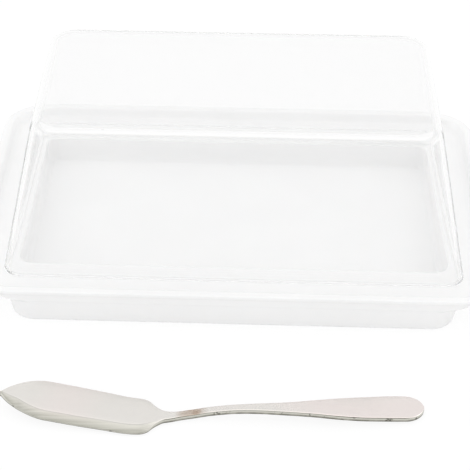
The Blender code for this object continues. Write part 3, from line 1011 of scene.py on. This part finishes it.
# Light. A bright, even studio: a pale room, brightest straight above and dim in one patch
# behind the viewer, with a soft lamp behind the viewer and one at each side. What the room
# sends as light is even. The patches are only seen mirrored in plastic and steel.
ROOM_LIGHT = 0.942
ROOM_UPPER_COLOUR = (0.90, 0.90, 0.90, 1)
ROOM_TOP_TOWARDS = (0, 0, 1)
ROOM_TOP_DEGREES = (8, 42)
ROOM_TOP_COLOUR = (1.22, 1.22, 1.18, 1)
ROOM_DIM_TOWARDS = (0, -0.82, 0.57)
ROOM_DIM_DEGREES = (26, 48)
ROOM_DIM_COLOUR = (0.12, 0.12, 0.10, 1)
ROOM_HORIZON = (0.12, 0.42)
LAMP_SIZE = 0.9
LAMPS = (
    ("front_softbox", (-0.25, -1.05, 1.05), 1.5),
    ("left_softbox", (-1.25, 0.05, 0.75), 1.5),
    ("right_softbox", (1.25, 0.05, 0.75), 1.5),
)

world = bpy.data.worlds.new("studio")
bpy.context.scene.world = world
world.use_nodes = True
room = world.node_tree
room_add = node_adder(room)
room_link = room.links.new
direction = room_add("ShaderNodeTexCoord").outputs["Generated"]


def room_patch(towards, inner_degrees, outer_degrees):
    """1 in a round patch of the room around one direction, falling softly to 0 outside it."""
    closeness = room_add("ShaderNodeVectorMath", operation="DOT_PRODUCT")
    closeness.inputs[1].default_value = Vector(towards).normalized()
    room_link(direction, closeness.inputs[0])
    inner = math.cos(math.radians(inner_degrees))
    outer = math.cos(math.radians(outer_degrees))
    return spread(room_add, room_link, closeness.outputs["Value"], outer, inner, 0.0, 1.0)


def room_blend(share, first, second):
    return colour_blend(room_add, room_link, share, first, second)


upward = room_add("ShaderNodeSeparateXYZ")
room_link(direction, upward.inputs[0])
above_horizon = spread(room_add, room_link, upward.outputs["Z"], *ROOM_HORIZON, 0.0, 1.0)
top_patch = room_patch(ROOM_TOP_TOWARDS, *ROOM_TOP_DEGREES)
dim_patch = room_patch(ROOM_DIM_TOWARDS, *ROOM_DIM_DEGREES)
upper_room = room_blend(top_patch, ROOM_UPPER_COLOUR, ROOM_TOP_COLOUR)
upper_room = room_blend(dim_patch, upper_room, ROOM_DIM_COLOUR)
mirrored = room_blend(above_horizon, WHITE, upper_room)
behind_clear = room_blend(above_horizon, WHITE, ROOM_UPPER_COLOUR)
paths = room_add("ShaderNodeLightPath").outputs
seen = room_blend(paths["Is Glossy Ray"], behind_clear, mirrored)
seen = room_blend(paths["Is Camera Ray"], seen, WHITE)
lit = (ROOM_LIGHT, ROOM_LIGHT, ROOM_LIGHT, 1)
whole_room = room_blend(seen_or_mirrored(room_add, room_link), lit, seen)
room_link(whole_room, room.nodes["Background"].inputs["Color"])

for lamp_name, lamp_place, watts in LAMPS:
    lamp_data = bpy.data.lights.new(lamp_name, "AREA")
    lamp_data.size = LAMP_SIZE
    lamp_data.energy = watts
    lamp = bpy.data.objects.new(lamp_name, lamp_data)
    bpy.context.scene.collection.objects.link(lamp)
    lamp.location = lamp_place
    lamp.rotation_euler = (-lamp.location).to_track_quat("-Z", "Y").to_euler()


# Camera. A long lens a step back from the dish, looking down on it and a little to its left,
# with the picture taken from right of the lens's middle, as in the photograph. Light that is
# caught in the lid's clear wall needs many bounces to come out, or the lid's edges turn black.
CAMERA_PLACE = (0.00306, -0.49496, 0.34137)
CAMERA_DOWN = 35.0
CAMERA_LEFT = 2.38
CAMERA_LENS = 118.63
CAMERA_SENSOR = 36
CAMERA_SHIFT = (0.0968, 0.0010)
CAMERA_NEAR = 0.01
BOUNCES = 400
PASSING_BOUNCES = 16

camera_data = bpy.data.cameras.new("camera")
camera_data.lens = CAMERA_LENS
camera_data.sensor_width = CAMERA_SENSOR
camera_data.shift_x, camera_data.shift_y = CAMERA_SHIFT
camera_data.clip_start = CAMERA_NEAR
camera = bpy.data.objects.new("camera", camera_data)
bpy.context.scene.collection.objects.link(camera)
camera.location = CAMERA_PLACE
camera.rotation_euler = (math.radians(90 - CAMERA_DOWN), 0, math.radians(CAMERA_LEFT))
bpy.context.scene.camera = camera
bpy.context.scene.view_settings.view_transform = "Standard"
bpy.context.scene.cycles.max_bounces = BOUNCES
bpy.context.scene.cycles.glossy_bounces = BOUNCES
bpy.context.scene.cycles.transmission_bounces = BOUNCES
bpy.context.scene.cycles.transparent_max_bounces = PASSING_BOUNCES
